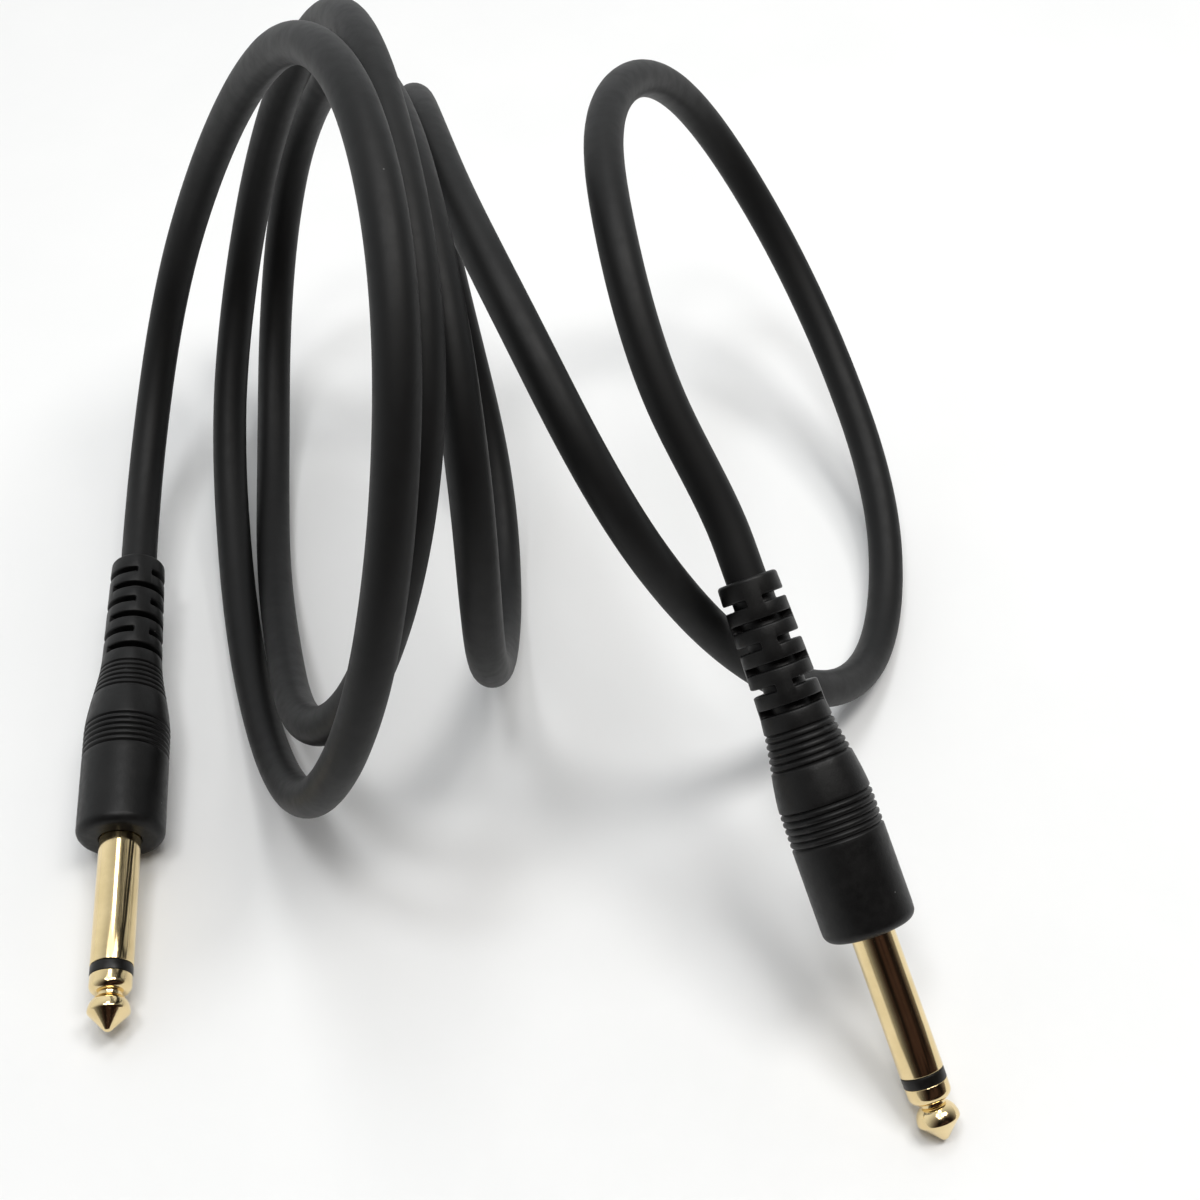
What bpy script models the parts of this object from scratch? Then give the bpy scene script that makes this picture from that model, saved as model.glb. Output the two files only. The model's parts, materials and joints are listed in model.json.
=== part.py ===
"""Instrument cable: a coaxial lead, standing in springy turns, with a moulded 6.35 mm plug on each end.

Blender 4.5, metres, +Z up. The lead stands on the plane z = 0. Sizes below are in millimetres and
become metres in one place, mm(). A plug is modelled along its own +Z, from the cable end at z = 0
to the tip, with +Y through the first strain-relief bridge, and is then placed by its empty.
"""

from math import cos, pi, radians, sin

import bmesh
import bpy
import numpy as np
from mathutils import Matrix, Vector

# Driving dimensions, millimetres
CABLE_DIAMETER = 6.0
SLEEVE_DIAMETER = 6.35
HANDLE_LENGTH = 52.4
BARREL_DIAMETER = 13.5
RELIEF_DIAMETER = 8.8
SHAFT_LENGTH = 30.8
TOUCH_GAP = 0.3
INNER_GAP = 0.2
FINE_GAP = 0.1

# Strain relief and grip rings, distances from the cable end of the handle
RELIEF_BASE_DIAMETER = 9.6
END_ROUND = 0.5
FLARE_START = 18.5
FLARE_END = 34.5
SLOT_COUNT = 6
SLOT_START = 3.4
SLOT_PITCH = 3.1
SLOT_WIDTH = 1.05
BRIDGE_HALF_ANGLE = radians(15.0)
RING_COUNT = 6
RING_GROUPS = {"rear": (22.1, 1.0), "front": (33.2, 1.0)}
RING_DEPTH = 0.3
RING_HALF_WIDTH = 0.26
RIM_RADIUS = 1.5
RIM_STEPS = 4

# Bores of the handle
JACKET_BORE_RADIUS = 3.3
JACKET_BORE_END = 24.5
CAVITY_TAPER_END = 30.5
CAVITY_REAR_RADIUS = 4.0
CAVITY_RADIUS = 5.3
FRONT_WALL = 2.6
SLEEVE_BORE_RADIUS = 3.45

# Contacts, distances from the handle's front face
RING_REAR = 20.8
RING_FRONT = 22.4
COLLAR_WIDTH = 1.4
COLLAR_STEP = 0.12
COLLAR_ROUND = 1.25
COLLAR_ROUND_STEPS = 3
NECK_END = 25.4
NECK_RADIUS = 1.8
BULB_MIDDLE = 27.8
BULB_RADIUS = 3.1
BULB_ROUND = 2.6
BULB_START_ANGLE = radians(150.0)
BULB_STEPS = 4
SHOULDER_ROUND = 0.5
SHOULDER_STEPS = 2
CONE_NORMAL_ANGLE = radians(46.0)
POINT_ROUND = 0.9
POINT_STEPS = 3
ROD_RADIUS = 1.1
SLEEVE_WALL = 0.8
SLEEVE_CHAMFER = 0.12
FLANGE_RADIUS = 3.5

# Hidden parts, distances from the cable end of the handle
CORE_RADIUS = 1.2
CORE_END = 33.0
CONDUCTOR_RADIUS = 0.4
CONDUCTOR_END = 36.0
TIP_SOLDER_RADIUS = 0.55
ROD_END = 38.4
TIP_LUG = {"washer": (2.2, 39.0, 39.5), "tongue": ((-0.8, -1.75, 34.5), (0.8, -1.35, 39.25))}
REAR_WASHER = 42.4
FLANGE_REAR = 44.3
FLANGE_FRONT = 46.3
GROUND_LUG = {"washer": (4.2, 46.5, 47.0), "tongue": ((-1.1, 3.85, 32.4), (1.1, 4.15, 46.75))}
GROUND_SOLDER = (0.5, 33.9, 35.3)
GROUND_SOLDER_OFFSET = 3.15
SCREEN_WIRE_RADIUS = 0.45
SCREEN_WIRE = [(0.0, 1.9, 25.0), (0.0, 2.1, 27.0), (0.0, 2.8, 29.8), (0.0, 3.1, 31.5), (0.0, 3.1, 33.6)]
CHAMBER_START = 26.5
CHAMBER_TAPER_END = 32.0
CHAMBER_END = 47.3
CHAMBER_RADIUS = 4.45

# Plug places: the cable end's centre, the heading from -Y towards +X, the dip of the tip below
# level, and the roll of the strain relief about the plug's axis
PLUG_PLACES = {
    "plug_a": {"exit": (-62.8, 48.3, 10.5), "heading": 6.0, "dip": 4.2, "roll": -29.0},
    "plug_b": {"exit": (37.4, 13.7, 48.6), "heading": 23.9, "dip": 34.9, "roll": 19.0},
}

# The lead's route from plug A to plug B, millimetres: three standing turns, then a wide last loop
FIRST_TURN = [
    (-64.0, 75.5, 17.0),
    (-59.0, 94.5, 36.0),
    (-48.0, 96.5, 61.0),
    (-36.0, 85.5, 83.5),
    (-24.5, 66.5, 100.5),
    (-14.0, 42.0, 107.5),
    (-8.0, 16.5, 99.5),
    (-8.5, -3.0, 79.5),
    (-14.0, -12.5, 54.0),
    (-23.5, -9.5, 28.5),
    (-34.0, 8.0, 9.5),
    (-43.0, 33.5, 3.2),
    (-49.0, 60.5, 5.0),
]
SECOND_TURN = [
    (-51.5, 86.0, 15.0),
    (-48.0, 105.0, 34.5),
    (-39.1, 108.0, 60.5),
    (-28.0, 97.0, 83.5),
    (-18.5, 75.0, 97.5),
    (-11.0, 48.5, 99.0),
    (-6.0, 23.0, 89.5),
    (-7.5, 3.0, 70.5),
    (-16.0, -4.0, 45.5),
    (-27.5, 7.0, 23.0),
    (-35.5, 29.5, 9.0),
    (-41.5, 56.0, 3.2),
]
THIRD_TURN = [
    (-44.5, 83.5, 6.5),
    (-44.5, 107.0, 21.5),
    (-38.8, 117.5, 45.5),
    (-28.1, 107.5, 69.0),
    (-18.8, 85.5, 83.5),
    (-11.0, 60.0, 90.5),
    (-4.5, 33.0, 86.0),
    (-0.5, 13.0, 68.0),
    (0.0, 9.5, 41.0),
    (0.0, 22.5, 16.5),
    (0.0, 46.5, 3.5),
    (-2.5, 72.5, 10.0),
    (-8.5, 91.0, 30.0),
    (-13.0, 98.5, 56.0),
    (-12.0, 85.0, 78.5),
]
LAST_LOOP = [
    (-5.0, 58.5, 83.5),
    (5.5, 33.5, 79.0),
    (18.5, 14.5, 63.5),
    (33.5, 11.0, 39.5),
    (49.0, 16.5, 19.0),
    (63.0, 34.5, 4.2),
    (67.5, 61.5, 6.0),
    (62.0, 87.0, 16.0),
    (51.0, 107.5, 31.0),
    (36.0, 116.0, 52.5),
    (24.0, 101.5, 72.0),
    (17.5, 77.0, 80.5),
    (19.0, 52.5, 78.5),
    (26.5, 31.5, 64.5),
]
EXIT_STRAIGHT = 5.0
TUBE_POINTS = 82
TURNED_STEPS = 24
FINE_STEPS = 16

MATERIALS = {
    "jacket": ((0.018, 0.019, 0.021), 0.45, 0.0),
    "handle": ((0.014, 0.015, 0.016), 0.5, 0.0),
    "gold": ((0.86, 0.66, 0.32), 0.14, 1.0),
    "insulator": ((0.02, 0.022, 0.03), 0.35, 0.0),
    "inner_mould": ((0.75, 0.74, 0.7), 0.5, 0.0),
    "brass": ((0.72, 0.53, 0.25), 0.3, 1.0),
    "copper": ((0.72, 0.35, 0.2), 0.3, 1.0),
    "solder": ((0.62, 0.63, 0.65), 0.3, 1.0),
    "core": ((0.85, 0.85, 0.82), 0.45, 0.0),
}


def mm(value):
    """Millimetres to metres, for a number or a point."""
    if isinstance(value, (tuple, list, Vector)):
        return Vector([number / 1000.0 for number in value])
    return value / 1000.0


def clear_scene():
    for item in list(bpy.data.objects):
        bpy.data.objects.remove(item, do_unlink=True)


def make_materials():
    made = {}
    for name, (colour, roughness, metallic) in MATERIALS.items():
        material = bpy.data.materials.new(name)
        material.use_nodes = True
        shader = material.node_tree.nodes["Principled BSDF"]
        shader.inputs["Base Color"].default_value = (*colour, 1.0)
        shader.inputs["Roughness"].default_value = roughness
        shader.inputs["Metallic"].default_value = metallic
        made[name] = material
    return made


def link(item, material=None, parent=None):
    bpy.context.scene.collection.objects.link(item)
    if material is not None:
        item.data.materials.append(material)
    if parent is not None:
        item.parent = parent
    return item


def mesh_from(name, shape):
    """A smooth-shaded mesh from a bmesh, with its sharp edges kept."""
    bmesh.ops.remove_doubles(shape, verts=shape.verts, dist=1e-7)
    bmesh.ops.recalc_face_normals(shape, faces=shape.faces)
    mesh = bpy.data.meshes.new(name)
    shape.to_mesh(mesh)
    shape.free()
    mesh.shade_smooth()
    mesh.set_sharp_from_angle(angle=radians(35.0))
    return mesh


def turned_shape(outline, steps=TURNED_STEPS, closed=True):
    """The bmesh of an outline of (radius, height) points in millimetres, spun round Z."""
    shape = bmesh.new()
    points = [shape.verts.new(mm((radius, 0.0, height))) for radius, height in outline]
    pairs = list(zip(points, points[1:]))
    if closed:
        pairs.append((points[-1], points[0]))
    edges = [shape.edges.new(pair) for pair in pairs]
    bmesh.ops.spin(
        shape,
        geom=points + edges,
        cent=(0.0, 0.0, 0.0),
        axis=(0.0, 0.0, 1.0),
        angle=2.0 * pi,
        steps=steps,
        use_merge=True,
    )
    return shape


def turned_mesh(name, outline, steps=TURNED_STEPS, closed=True):
    return mesh_from(name, turned_shape(outline, steps, closed))


def tube_outline(outer, inner, low, high):
    return [(outer, low), (outer, high), (inner, high), (inner, low)]


def rod_outline(radius, low, high):
    return [(0.0, low), (radius, low), (radius, high), (0.0, high)]


def bead_outline(radius, low, high, points=7):
    """Half an ellipse from low to high on the axis."""
    middle, half = (low + high) / 2.0, (high - low) / 2.0
    angles = [pi * step / (points - 1) for step in range(points)]
    return [(radius * sin(angle), middle - half * cos(angle)) for angle in angles]


def handle_radius(height):
    """The handle's plain outer radius: relief cone, flare, then barrel."""
    relief_rise = (RELIEF_BASE_DIAMETER - RELIEF_DIAMETER) / 2.0
    relief = RELIEF_DIAMETER / 2.0 + relief_rise * min(height / FLARE_START, 1.0)
    share = min(max((height - FLARE_START) / (FLARE_END - FLARE_START), 0.0), 1.0)
    smooth = share * share * (3.0 - 2.0 * share)
    return relief + (BARREL_DIAMETER / 2.0 - relief) * smooth


def handle_outline():
    """The handle's half section, outside from the cable end to the front, then back down its bores."""
    outline = [(handle_radius(0.0) - END_ROUND, 0.0), (handle_radius(0.0), END_ROUND)]
    outline.append((handle_radius(FLARE_START), FLARE_START))
    for start, pitch in RING_GROUPS.values():
        for ring in range(RING_COUNT):
            middle = start + ring * pitch
            for offset, depth in ((-RING_HALF_WIDTH, 0.0), (0.0, RING_DEPTH), (RING_HALF_WIDTH, 0.0)):
                outline.append((handle_radius(middle + offset) - depth, middle + offset))
    for step in range(RIM_STEPS + 1):
        angle = pi / 2.0 * step / RIM_STEPS
        radius = BARREL_DIAMETER / 2.0 - RIM_RADIUS * (1.0 - cos(angle))
        outline.append((radius, HANDLE_LENGTH - RIM_RADIUS * (1.0 - sin(angle))))
    wall = HANDLE_LENGTH - FRONT_WALL
    outline += [
        (SLEEVE_BORE_RADIUS, HANDLE_LENGTH),
        (SLEEVE_BORE_RADIUS, wall),
        (CAVITY_RADIUS, wall),
        (CAVITY_RADIUS, CAVITY_TAPER_END),
        (CAVITY_REAR_RADIUS, JACKET_BORE_END),
        (JACKET_BORE_RADIUS, JACKET_BORE_END),
        (JACKET_BORE_RADIUS, 0.0),
    ]
    return outline


def slot_cutter_mesh():
    """Two open sectors for each slot, which leave a bridge between the relief's segments on two sides."""
    inner, outer = JACKET_BORE_RADIUS - 0.2, BARREL_DIAMETER / 2.0
    sweep = pi - 2.0 * BRIDGE_HALF_ANGLE
    shape = bmesh.new()
    for slot in range(SLOT_COUNT):
        middle = SLOT_START + slot * SLOT_PITCH
        low, high = middle - SLOT_WIDTH / 2.0, middle + SLOT_WIDTH / 2.0
        first_bridge = pi / 2.0 if slot % 2 == 0 else 0.0
        for side in (0.0, pi):
            start = first_bridge + side + BRIDGE_HALF_ANGLE
            corners = [(inner, low), (outer, low), (outer, high), (inner, high)]
            turn = Matrix.Rotation(start, 3, "Z")
            points = [shape.verts.new(turn @ mm((radius, 0.0, height))) for radius, height in corners]
            face = shape.faces.new(points)
            bmesh.ops.spin(
                shape,
                geom=[face, *face.edges, *points],
                cent=(0.0, 0.0, 0.0),
                axis=(0.0, 0.0, 1.0),
                angle=sweep,
                steps=10,
            )
    return mesh_from("slot_cutter", shape)


def inner_mould_outline():
    """The block that holds the contacts, hollowed where they sit."""
    outer, front = CAVITY_RADIUS - INNER_GAP, HANDLE_LENGTH - FRONT_WALL - INNER_GAP
    rear = JACKET_BORE_END + INNER_GAP
    return [
        (CAVITY_REAR_RADIUS - INNER_GAP, rear),
        (outer, CAVITY_TAPER_END),
        (outer, front),
        (SLEEVE_BORE_RADIUS, front),
        (SLEEVE_BORE_RADIUS, CHAMBER_END),
        (CHAMBER_RADIUS, CHAMBER_END),
        (CHAMBER_RADIUS, CHAMBER_TAPER_END),
        (JACKET_BORE_RADIUS, CHAMBER_START),
        (JACKET_BORE_RADIUS, rear),
    ]


def sleeve_outline():
    """The sleeve contact: its anchoring flange, then the plain gold tube with a chamfered end."""
    outer, end = SLEEVE_DIAMETER / 2.0, HANDLE_LENGTH + RING_REAR
    inner = outer - SLEEVE_WALL
    return [
        (inner, FLANGE_REAR),
        (FLANGE_RADIUS, FLANGE_REAR),
        (FLANGE_RADIUS, FLANGE_FRONT),
        (outer, FLANGE_FRONT),
        (outer, end - SLEEVE_CHAMFER),
        (outer - SLEEVE_CHAMFER, end),
        (inner, end),
    ]


def tip_outline():
    """The tip contact: rod, collar, neck, bulb, cone and rounded point, from the rod's end forwards."""
    collar = SLEEVE_DIAMETER / 2.0 - COLLAR_STEP
    face = HANDLE_LENGTH
    collar_rear = face + RING_FRONT + FINE_GAP
    outline = [(0.0, ROD_END), (ROD_RADIUS, ROD_END), (ROD_RADIUS, collar_rear)]
    shoulder = collar_rear + COLLAR_WIDTH
    outline.append((collar, collar_rear))
    for step in range(COLLAR_ROUND_STEPS + 1):
        angle = radians(90.0) * step / COLLAR_ROUND_STEPS
        inward = COLLAR_ROUND * (1.0 - cos(angle))
        outline.append((collar - inward, shoulder + COLLAR_ROUND * sin(angle)))
    outline.append((NECK_RADIUS, face + NECK_END))
    quarter = radians(90.0)
    for step in range(BULB_STEPS + 1):
        angle = BULB_START_ANGLE + (quarter - BULB_START_ANGLE) * step / BULB_STEPS
        radius = BULB_RADIUS - BULB_ROUND * (1.0 - sin(angle))
        outline.append((radius, face + BULB_MIDDLE + BULB_ROUND * cos(angle)))
    for step in range(1, SHOULDER_STEPS + 1):
        angle = quarter + (CONE_NORMAL_ANGLE - quarter) * step / SHOULDER_STEPS
        radius = BULB_RADIUS - SHOULDER_ROUND * (1.0 - sin(angle))
        outline.append((radius, face + BULB_MIDDLE + SHOULDER_ROUND * cos(angle)))
    for step in range(POINT_STEPS):
        angle = CONE_NORMAL_ANGLE * (1.0 - step / POINT_STEPS)
        height = face + SHAFT_LENGTH - POINT_ROUND * (1.0 - cos(angle))
        outline.append((POINT_ROUND * sin(angle), height))
    outline.append((0.0, face + SHAFT_LENGTH))
    return outline


def box_shape(low, high):
    """A bmesh box between two corners in millimetres."""
    shape = bmesh.new()
    bmesh.ops.create_cube(shape, size=1.0)
    size = [high[axis] - low[axis] for axis in range(3)]
    middle = [(high[axis] + low[axis]) / 2.0 for axis in range(3)]
    bmesh.ops.scale(shape, verts=shape.verts, vec=mm(size))
    bmesh.ops.translate(shape, verts=shape.verts, vec=mm(middle))
    return shape


def lug_meshes(name, lug, bore):
    """A solder lug's two meshes: its washer and the tongue that a union joins to it."""
    outer, low, high = lug["washer"]
    washer = turned_mesh(name, tube_outline(outer, bore, low, high), FINE_STEPS)
    return washer, mesh_from(f"{name}_tongue", box_shape(*lug["tongue"]))


def turned_pieces():
    """The plug's plainly turned pieces: outline, material, steps and whether the outline closes."""
    face, sleeve = HANDLE_LENGTH, SLEEVE_DIAMETER / 2.0
    rod_bore, sleeve_bore = ROD_RADIUS + INNER_GAP, sleeve - SLEEVE_WALL
    ring = tube_outline(sleeve - FINE_GAP / 2.0, rod_bore, face + RING_REAR + FINE_GAP, face + RING_FRONT)
    tube = tube_outline(sleeve_bore - INNER_GAP, rod_bore, FLANGE_REAR, face + RING_REAR - FINE_GAP)
    washer = tube_outline(FLANGE_RADIUS, rod_bore, REAR_WASHER, FLANGE_REAR - INNER_GAP)
    jacket = rod_outline(CABLE_DIAMETER / 2.0, 0.0, JACKET_BORE_END - FINE_GAP)
    core = rod_outline(CORE_RADIUS, JACKET_BORE_END + INNER_GAP, CORE_END)
    conductor = rod_outline(CONDUCTOR_RADIUS, CORE_END + INNER_GAP, CONDUCTOR_END)
    tip_solder = bead_outline(TIP_SOLDER_RADIUS, CONDUCTOR_END + INNER_GAP, ROD_END - INNER_GAP)
    return {
        "inner_mould": (inner_mould_outline(), "inner_mould", TURNED_STEPS, True),
        "sleeve_contact": (sleeve_outline(), "gold", TURNED_STEPS, True),
        "tip_contact": (tip_outline(), "gold", TURNED_STEPS, False),
        "insulator_ring": (ring, "insulator", TURNED_STEPS, True),
        "insulator_tube": (tube, "insulator", FINE_STEPS, True),
        "rear_washer": (washer, "insulator", FINE_STEPS, True),
        "jacket_end": (jacket, "jacket", FINE_STEPS, False),
        "core_insulation": (core, "core", FINE_STEPS, False),
        "centre_conductor": (conductor, "copper", FINE_STEPS, False),
        "tip_solder": (tip_solder, "solder", FINE_STEPS, False),
    }


def placed_empty(name, place):
    """The plug's empty: at its cable end, with +Z along the plug towards the tip."""
    empty = bpy.data.objects.new(f"{name}_frame", None)
    bpy.context.scene.collection.objects.link(empty)
    heading, dip, roll = (radians(place[key]) for key in ("heading", "dip", "roll"))
    turn = Matrix.Rotation(heading, 4, "Z") @ Matrix.Rotation(pi / 2.0 + dip, 4, "X")
    turn = turn @ Matrix.Rotation(roll, 4, "Z")
    empty.matrix_world = Matrix.Translation(mm(place["exit"])) @ turn
    return empty


def plug_axis(place):
    """The unit vector from the plug's cable end to its tip."""
    heading, dip = radians(place["heading"]), radians(place["dip"])
    return Vector((sin(heading) * cos(dip), -cos(heading) * cos(dip), -sin(dip)))


def cut_or_join(item, tool, operation):
    """Cut or join item by tool, which stays in the file as a wire guide."""
    modifier = item.modifiers.new(operation.title(), "BOOLEAN")
    modifier.operation = operation
    modifier.solver = "EXACT"
    modifier.object = tool
    tool.hide_render = True
    tool.display_type = "WIRE"


def make_wire(name, route, radius, material, parent=None, resolution=2):
    """A round solid wire along points in millimetres, as a bevelled curve with filled ends."""
    curve = bpy.data.curves.new(name, "CURVE")
    curve.dimensions = "3D"
    curve.bevel_depth = mm(radius)
    curve.bevel_resolution = resolution
    curve.use_fill_caps = True
    spline = curve.splines.new("POLY")
    spline.points.add(len(route) - 1)
    for point, place in zip(spline.points, route):
        point.co = (*mm(tuple(place)), 1.0)
    return link(bpy.data.objects.new(name, curve), material, parent)


def plug_meshes():
    """The meshes that both plugs share."""
    lug_bore = {"tip_lug": ROD_RADIUS + INNER_GAP, "ground_lug": SLEEVE_DIAMETER / 2.0 + INNER_GAP}
    meshes = {
        "handle": turned_mesh("handle", handle_outline()),
        "slots": slot_cutter_mesh(),
        "tip_lug": lug_meshes("tip_lug", TIP_LUG, lug_bore["tip_lug"]),
        "ground_lug": lug_meshes("ground_lug", GROUND_LUG, lug_bore["ground_lug"]),
        "ground_solder": turned_mesh("ground_solder", bead_outline(*GROUND_SOLDER), FINE_STEPS, False),
    }
    for piece, (outline, _, steps, closed) in turned_pieces().items():
        meshes[piece] = turned_mesh(piece, outline, steps, closed)
    return meshes


def make_plug(name, place, meshes, materials):
    """One plug's pieces under its own empty."""
    frame = placed_empty(name, place)

    def add(piece, mesh, material=None):
        item = link(bpy.data.objects.new(f"{name}_{piece}", mesh), None, frame)
        if material is not None:
            mesh.materials.clear()
            mesh.materials.append(materials[material])
        return item

    for piece, (_, material, _, _) in turned_pieces().items():
        add(piece, meshes[piece], material)
    handle = add("handle", meshes["handle"], "handle")
    cut_or_join(handle, add("slot_cutter", meshes["slots"]), "DIFFERENCE")
    for lug in ("tip_lug", "ground_lug"):
        washer, tongue = meshes[lug]
        cut_or_join(add(lug, washer, "brass"), add(f"{lug}_guide", tongue), "UNION")
    bead = add("ground_solder", meshes["ground_solder"], "solder")
    bead.location = mm((0.0, GROUND_SOLDER_OFFSET, 0.0))
    make_wire(f"{name}_screen_wire", SCREEN_WIRE, SCREEN_WIRE_RADIUS, materials["copper"], frame)


def smooth_curve(points, start_direction, end_direction, count):
    """Points evenly spread along the cubic spline through a route, with set directions at its ends."""
    route = np.array([tuple(point) for point in points], dtype=float)
    chords = np.linalg.norm(np.diff(route, axis=0), axis=1)
    knots = np.concatenate(([0.0], np.cumsum(chords)))
    size = len(route)
    system, target = np.zeros((size, size)), np.zeros((size, 3))
    system[0, 0] = system[-1, -1] = 1.0
    target[0], target[-1] = start_direction, end_direction
    for i in range(1, size - 1):
        before, after = chords[i - 1], chords[i]
        system[i, i - 1], system[i, i], system[i, i + 1] = after, 2.0 * (before + after), before
        rise = after * (route[i] - route[i - 1]) / before + before * (route[i + 1] - route[i]) / after
        target[i] = 3.0 * rise
    slopes = np.linalg.solve(system, target)
    fine = np.linspace(0.0, knots[-1], 40 * size)
    piece = np.clip(np.searchsorted(knots, fine, side="right") - 1, 0, size - 2)
    span = chords[piece][:, None]
    share = ((fine - knots[piece]) / chords[piece])[:, None]
    places = (
        (2 * share**3 - 3 * share**2 + 1) * route[piece]
        + (share**3 - 2 * share**2 + share) * span * slopes[piece]
        + (3 * share**2 - 2 * share**3) * route[piece + 1]
        + (share**3 - share**2) * span * slopes[piece + 1]
    )
    walked = np.concatenate(([0.0], np.cumsum(np.linalg.norm(np.diff(places, axis=0), axis=1))))
    stops = np.linspace(0.0, walked[-1], count)
    return np.stack([np.interp(stops, walked, places[:, axis]) for axis in range(3)], axis=1)


def cable_route():
    """The lead's own route: straight out of plug A's handle, the turns, and straight into plug B's."""
    ends = {}
    for name, place in PLUG_PLACES.items():
        axis = plug_axis(place)
        ends[name] = [Vector(place["exit"]) - reach * axis for reach in (TOUCH_GAP, EXIT_STRAIGHT)]
    first_axis, last_axis = (plug_axis(place) for place in PLUG_PLACES.values())
    (first, second), (last, last_but_one) = ends["plug_a"], ends["plug_b"]
    points = [second, *FIRST_TURN, *SECOND_TURN, *THIRD_TURN, *LAST_LOOP, last_but_one]
    return [first, *smooth_curve(points, -first_axis, last_axis, TUBE_POINTS - 2), last]


def main():
    clear_scene()
    materials = make_materials()
    meshes = plug_meshes()
    for name, place in PLUG_PLACES.items():
        make_plug(name, place, meshes, materials)
    make_wire("cable", cable_route(), CABLE_DIAMETER / 2.0, materials["jacket"], resolution=3)


main()
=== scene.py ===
"""Looks of the instrument cable: its jacket, both moulded plugs, and a plain white studio table."""

import json
from math import cos, pi, radians, sin

import bpy
import numpy as np
from mathutils import Matrix, Vector


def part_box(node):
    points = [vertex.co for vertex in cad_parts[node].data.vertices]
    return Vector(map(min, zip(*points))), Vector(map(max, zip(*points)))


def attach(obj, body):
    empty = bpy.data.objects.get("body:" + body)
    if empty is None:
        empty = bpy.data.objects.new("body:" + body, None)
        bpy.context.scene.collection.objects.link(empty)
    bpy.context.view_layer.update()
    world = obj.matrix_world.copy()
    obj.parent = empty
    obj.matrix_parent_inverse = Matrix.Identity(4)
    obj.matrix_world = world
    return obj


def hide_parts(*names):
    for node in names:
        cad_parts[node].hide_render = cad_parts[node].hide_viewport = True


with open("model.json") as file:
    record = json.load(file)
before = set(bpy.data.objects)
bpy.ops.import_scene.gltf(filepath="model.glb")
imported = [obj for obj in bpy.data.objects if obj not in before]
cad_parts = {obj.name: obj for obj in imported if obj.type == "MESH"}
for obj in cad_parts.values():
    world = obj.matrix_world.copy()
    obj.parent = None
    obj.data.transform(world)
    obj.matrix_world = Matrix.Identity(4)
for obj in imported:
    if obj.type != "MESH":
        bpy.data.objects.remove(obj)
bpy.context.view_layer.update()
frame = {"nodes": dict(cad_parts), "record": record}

MM = 0.001

# Camera
CAMERA_PLACE = (0.0167, -0.1395, 0.2297)
CAMERA_PITCH = radians(50.5)
CAMERA_LENS = 50.25
CAMERA_NEAR = 0.01

# The cable's route from plug A to plug B, in metres, as the CAD model has it
FIRST_TURN = [
    (-0.0640, 0.0755, 0.0170),
    (-0.0590, 0.0945, 0.0360),
    (-0.0480, 0.0965, 0.0610),
    (-0.0360, 0.0855, 0.0835),
    (-0.0245, 0.0665, 0.1005),
    (-0.0140, 0.0420, 0.1075),
    (-0.0080, 0.0165, 0.0995),
    (-0.0085, -0.0030, 0.0795),
    (-0.0140, -0.0125, 0.0540),
    (-0.0235, -0.0095, 0.0285),
    (-0.0340, 0.0080, 0.0095),
    (-0.0430, 0.0335, 0.0032),
    (-0.0490, 0.0605, 0.0050),
]
SECOND_TURN = [
    (-0.0515, 0.0860, 0.0150),
    (-0.0480, 0.1050, 0.0345),
    (-0.0391, 0.1080, 0.0605),
    (-0.0280, 0.0970, 0.0835),
    (-0.0185, 0.0750, 0.0975),
    (-0.0110, 0.0485, 0.0990),
    (-0.0060, 0.0230, 0.0895),
    (-0.0075, 0.0030, 0.0705),
    (-0.0160, -0.0040, 0.0455),
    (-0.0275, 0.0070, 0.0230),
    (-0.0355, 0.0295, 0.0090),
    (-0.0415, 0.0560, 0.0032),
]
THIRD_TURN = [
    (-0.0445, 0.0835, 0.0065),
    (-0.0445, 0.1070, 0.0215),
    (-0.0388, 0.1175, 0.0455),
    (-0.0281, 0.1075, 0.0690),
    (-0.0188, 0.0855, 0.0835),
    (-0.0110, 0.0600, 0.0905),
    (-0.0045, 0.0330, 0.0860),
    (-0.0005, 0.0130, 0.0680),
    (0.0000, 0.0095, 0.0410),
    (0.0000, 0.0225, 0.0165),
    (0.0000, 0.0465, 0.0035),
    (-0.0025, 0.0725, 0.0100),
    (-0.0085, 0.0910, 0.0300),
    (-0.0130, 0.0985, 0.0560),
    (-0.0120, 0.0850, 0.0785),
]
LAST_LOOP = [
    (-0.0050, 0.0585, 0.0835),
    (0.0055, 0.0335, 0.0790),
    (0.0185, 0.0145, 0.0635),
    (0.0335, 0.0110, 0.0395),
    (0.0490, 0.0165, 0.0190),
    (0.0630, 0.0345, 0.0042),
    (0.0675, 0.0615, 0.0060),
    (0.0620, 0.0870, 0.0160),
    (0.0510, 0.1075, 0.0310),
    (0.0360, 0.1160, 0.0525),
    (0.0240, 0.1015, 0.0720),
    (0.0175, 0.0770, 0.0805),
    (0.0190, 0.0525, 0.0785),
    (0.0265, 0.0315, 0.0645),
]

# The cable, in metres; two slight waves make its jacket uneven
EXIT_STRAIGHT = 0.005
CABLE_RADIUS = 0.003
CABLE_RINGS = 1020
CABLE_SIDES = 32
CURVE_STEPS = 60
JACKET_WAVE = 0.00002
WAVE_STEP = 0.0041
WAVE_TURN = 0.0127
SWELL_STEP = 0.0173

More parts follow.
